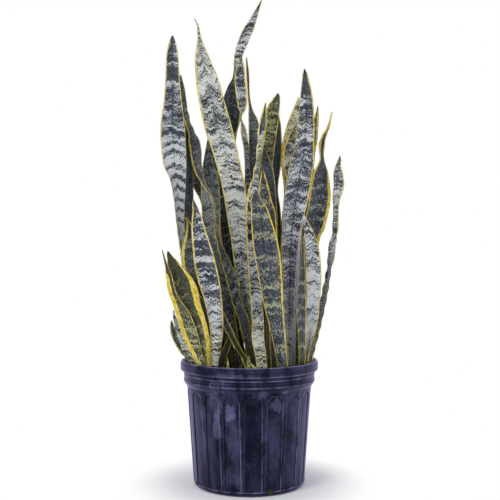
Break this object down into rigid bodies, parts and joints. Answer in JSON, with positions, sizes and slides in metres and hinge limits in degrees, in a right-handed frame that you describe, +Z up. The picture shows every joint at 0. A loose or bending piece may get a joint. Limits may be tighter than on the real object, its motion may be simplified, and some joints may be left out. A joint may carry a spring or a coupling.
{
  "type": "potted snake plant",
  "caption": "Upright snake plant with banded sword-shaped leaves and yellow margins, rooted in soil in a ribbed round nursery pot that stands on a floor.",
  "frame": {"origin": "The middle of the pot's underside, on the pot's axis, at the level it stands on.", "axes": "+Z up along the pot's axis, -Y towards the front as seen in the picture, +X to its right."},
  "size_m": [0.3402, 0.254, 0.901],
  "materials": {
    "pot_plastic": "satin, near-black navy moulded plastic with dust and water marks",
    "soil": "rough, loose bark and peat potting mix",
    "rhizome": "matt, fibrous underground stem",
    "leaf_silver": "waxy satin, silver-grey with dark cross bands and yellow margins",
    "leaf_pale": "waxy satin, pale celadon with dark chevrons and cream margins",
    "leaf_green": "waxy satin, mottled olive green with yellow margins",
    "leaf_dark": "waxy satin, dark slate green with pale cross bands and yellow margins",
    "shoot": "waxy satin, young pale yellow-green"
  },
  "bodies": {
    "root": {"pot": "pot_plastic", "soil": "soil", "rhizome": "rhizome", "leaf_left_tall": "leaf_silver", "leaf_lens": "leaf_silver", "leaf_centre_curved": "leaf_silver", "leaf_right_big": "leaf_silver", "leaf_right_slim": "leaf_silver", "leaf_far_right": "leaf_silver", "leaf_right_front": "leaf_silver", "leaf_left_front": "leaf_silver", "leaf_left_curled": "leaf_silver", "leaf_low_left_silver": "leaf_silver", "leaf_pale_tall": "leaf_pale", "leaf_right_behind": "leaf_pale", "leaf_right_inner": "leaf_pale", "leaf_mottled_green": "leaf_green", "leaf_left_folded": "leaf_green", "leaf_left_outer": "leaf_green", "leaf_back_tall": "leaf_green", "leaf_back_outer_left": "leaf_green", "leaf_back_right": "leaf_green", "leaf_back_low_left": "leaf_green", "leaf_shaded": "leaf_green", "leaf_crossing": "leaf_green", "leaf_left_twisted": "leaf_dark", "leaf_left_dark": "leaf_dark", "leaf_left_behind": "leaf_dark", "leaf_tallest": "leaf_dark", "leaf_sharp": "leaf_dark", "leaf_centre_dark": "leaf_dark", "leaf_centre_short": "leaf_dark", "leaf_front_centre": "leaf_dark", "leaf_dark_upright": "leaf_dark", "leaf_right_twisted": "leaf_dark", "leaf_right_banded": "leaf_dark", "leaf_low_left_dark": "leaf_dark", "leaf_back_left": "leaf_dark", "leaf_back_outer_right": "leaf_dark", "leaf_back_low_right": "leaf_dark", "shoot_left": "shoot", "shoot_middle": "shoot", "shoot_curl": "shoot"}
  },
  "joints": []
}
